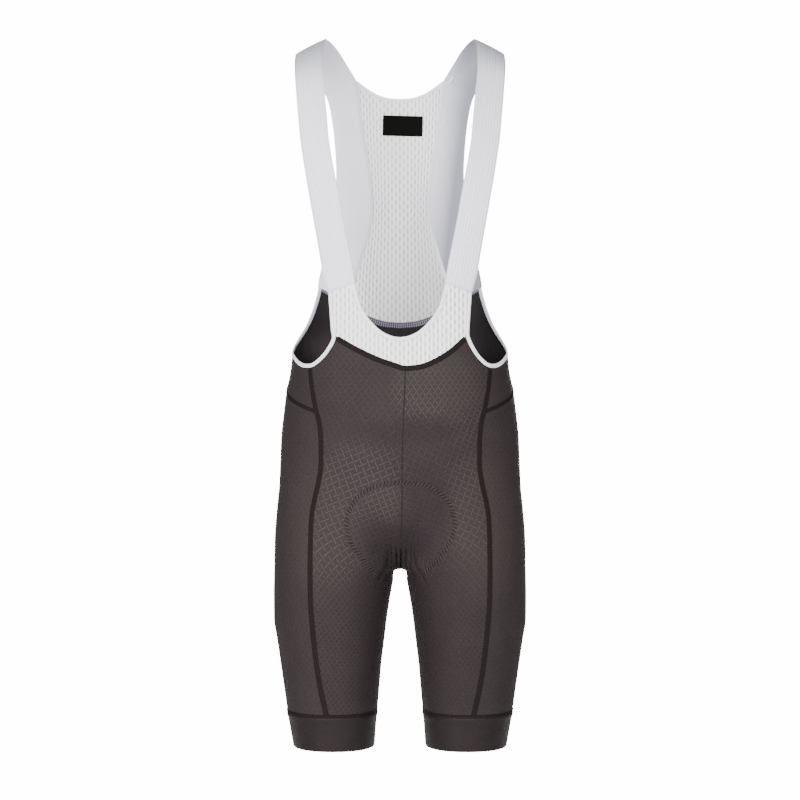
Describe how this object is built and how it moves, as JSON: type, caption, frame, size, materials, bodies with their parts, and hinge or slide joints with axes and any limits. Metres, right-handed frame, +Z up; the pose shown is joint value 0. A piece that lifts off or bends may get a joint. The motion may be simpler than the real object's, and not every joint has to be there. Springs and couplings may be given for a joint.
{
  "type": "cycling bib shorts",
  "caption": "Dark stretch cycling bib shorts with raised basket-weave pattern, padded seat, gripper cuffs, white mesh bib and white shoulder straps, in their hollow worn form.",
  "frame": {"origin": "midway between the two straps at the top of the shoulders, where the wearer holds the garment up", "axes": "+Z up, the front faces -Y, the wearer's left side is +X"},
  "size_m": [0.3364, 0.2351, 0.944],
  "materials": {
    "dark_jersey": "matt brownish black stretch jersey with a raised basket-weave pattern",
    "gripper_band": "smooth matt elastic band",
    "strap_knit": "flat white knitted strap",
    "white_jersey": "smooth white jersey with a faint lilac cast",
    "white_mesh": "white rib mesh with staggered slots",
    "white_binding": "folded white elastic binding",
    "pale_binding": "folded pale grey-lilac binding",
    "label_weave": "matt black woven label, bare",
    "chamois": "brushed padded jersey"
  },
  "bodies": {
    "root": {"armhole_binding_left": "pale_binding", "armhole_binding_right": "pale_binding", "back_left": "dark_jersey", "back_right": "dark_jersey", "back_side_left": "white_jersey", "back_side_right": "white_jersey", "bib_back": "white_mesh", "bib_front": "white_mesh", "cuff_left": "gripper_band", "cuff_right": "gripper_band", "front_left": "dark_jersey", "front_right": "dark_jersey", "label": "label_weave", "neck_binding_back": "white_binding", "neck_binding_front": "white_binding", "pad": "chamois", "side_left": "dark_jersey", "side_right": "dark_jersey", "side_upper_left": "dark_jersey", "side_upper_right": "dark_jersey", "strap_left": "strap_knit", "strap_right": "strap_knit"}
  },
  "joints": []
}
